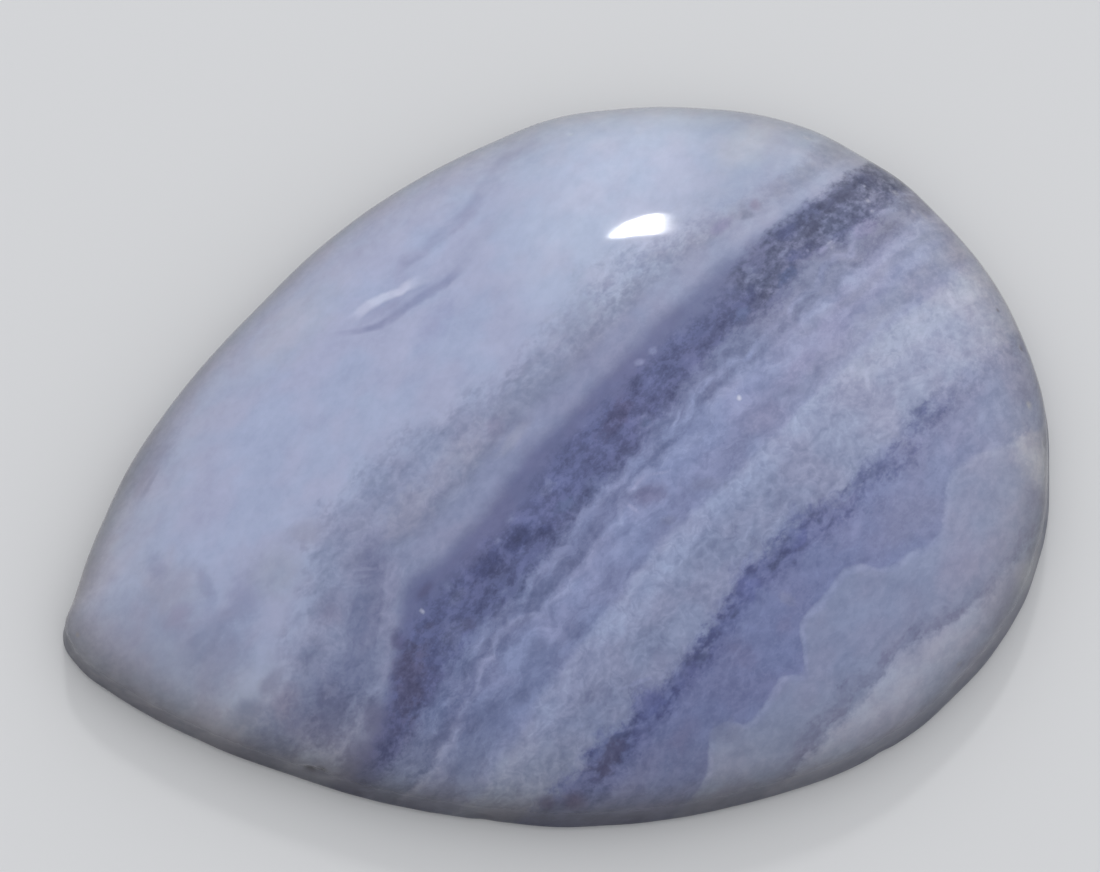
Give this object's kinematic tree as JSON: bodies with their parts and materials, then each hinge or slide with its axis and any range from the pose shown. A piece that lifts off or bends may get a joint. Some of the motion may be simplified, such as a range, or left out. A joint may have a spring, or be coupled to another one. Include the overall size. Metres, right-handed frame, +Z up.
{
  "type": "blue chalcedony cabochon",
  "caption": "Pear-shaped domed cabochon of banded pale blue stone, polished on top and flat on the back, for setting in a bezel or gluing down.",
  "frame": {"origin": "on the flat back, under the middle of the stone's length and width", "axes": "+X along the stone from its tip to its round end, +Z up from the flat back to the crown"},
  "size_m": [0.04, 0.0292, 0.007],
  "materials": {
    "blue_chalcedony": "high polish with soft banding in milky blue, grey-violet and dark blue"
  },
  "bodies": {
    "root": {"cabochon": "blue_chalcedony"}
  },
  "joints": []
}
